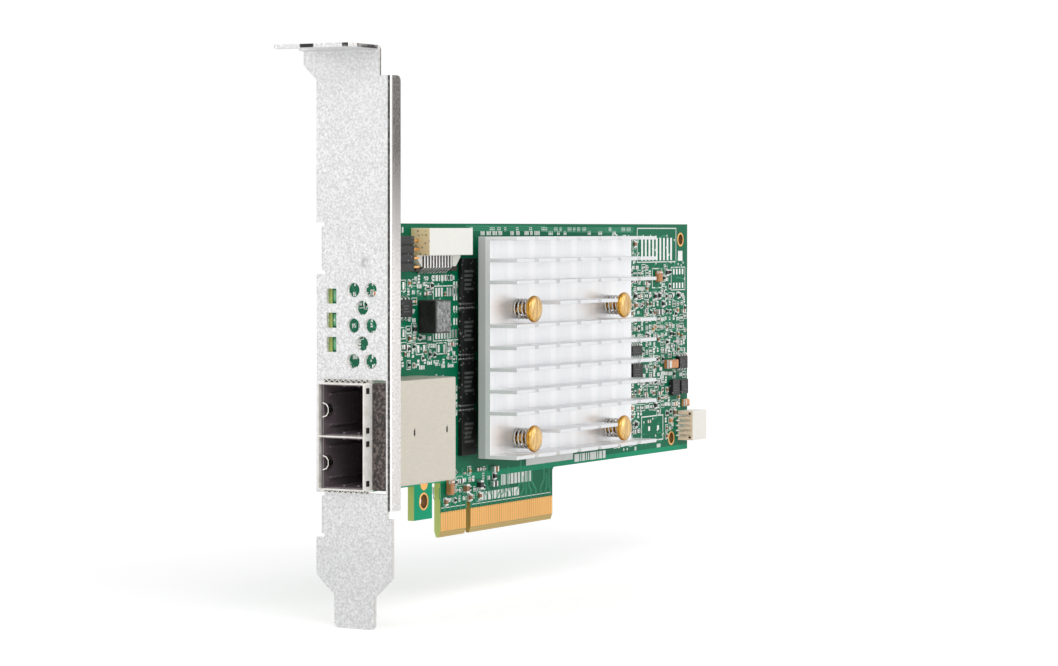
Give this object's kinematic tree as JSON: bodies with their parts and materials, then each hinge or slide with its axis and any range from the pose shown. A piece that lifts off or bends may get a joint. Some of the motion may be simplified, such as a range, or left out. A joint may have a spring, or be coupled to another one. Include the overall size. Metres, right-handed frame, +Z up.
{
  "type": "storage controller card",
  "caption": "Low-profile server expansion card on a full-height folded bracket, with stacked cable ports and a cross-cut aluminium heat sink held by sprung pins.",
  "frame": {"origin": "centre of the edge connector's key notch, halfway through the board, at the lower edge of the fingers", "axes": "+X along the board, away from the bracket; -Y out of the component side; +Z up, away from the slot"},
  "size_m": [0.1818, 0.0216, 0.12],
  "materials": {
    "bracket_steel": "plated, satin",
    "screw_steel": "bright zinc",
    "board_laminate": "green solder mask, satin",
    "gold_plate": "hard gold plating, bright",
    "cage_steel": "plated sheet, satin",
    "contact_foam": "conductive fabric over foam",
    "spring_sheet": "bright spring sheet",
    "black_moulding": "moulded, matt",
    "substrate_laminate": "dark laminate",
    "lid_metal": "nickel plated",
    "thermal_compound": "soft pad",
    "sink_aluminium": "etched, bright",
    "pin_brass": "turned, bright",
    "spring_steel": "drawn wire",
    "ivory_moulding": "moulded, satin",
    "tinned_metal": "bright tin",
    "inductor_core": "pressed powder, matt",
    "tantalum_moulding": "moulded, amber",
    "capacitor_ceramic": "fired, matt",
    "resistor_ceramic": "glazed top",
    "lamp_lens": "clear moulding",
    "label_paper": "blank label"
  },
  "bodies": {
    "root": {"bracket": "bracket_steel", "bracket_screws": "screw_steel", "circuit_board": "board_laminate", "plated_rings": "gold_plate", "edge_contacts_front": "gold_plate", "edge_contacts_back": "gold_plate", "port_cage": "cage_steel", "port_gasket": "contact_foam", "port_spring_fingers": "spring_sheet", "port_receptacle_lower": "black_moulding", "port_receptacle_upper": "black_moulding", "controller_substrate": "substrate_laminate", "controller_lid": "lid_metal", "thermal_pad": "thermal_compound", "heat_sink": "sink_aluminium", "push_pins": "pin_brass", "push_pin_springs": "spring_steel", "shroud_housing": "ivory_moulding", "shroud_leads": "tinned_metal", "pin_header_body": "black_moulding", "pin_header_pins": "gold_plate", "side_header_housing": "ivory_moulding", "side_header_contacts": "tinned_metal", "power_inductor": "inductor_core", "inductor_terminals": "tinned_metal", "leaded_chips": "black_moulding", "chip_leads": "tinned_metal", "memory_chips": "black_moulding", "tantalum_capacitors": "tantalum_moulding", "ceramic_capacitors": "capacitor_ceramic", "chip_resistors": "resistor_ceramic", "small_part_terminals": "tinned_metal", "solder_side_capacitors": "capacitor_ceramic", "solder_side_terminals": "tinned_metal", "status_leds": "lamp_lens", "board_label": "label_paper"}
  },
  "joints": []
}
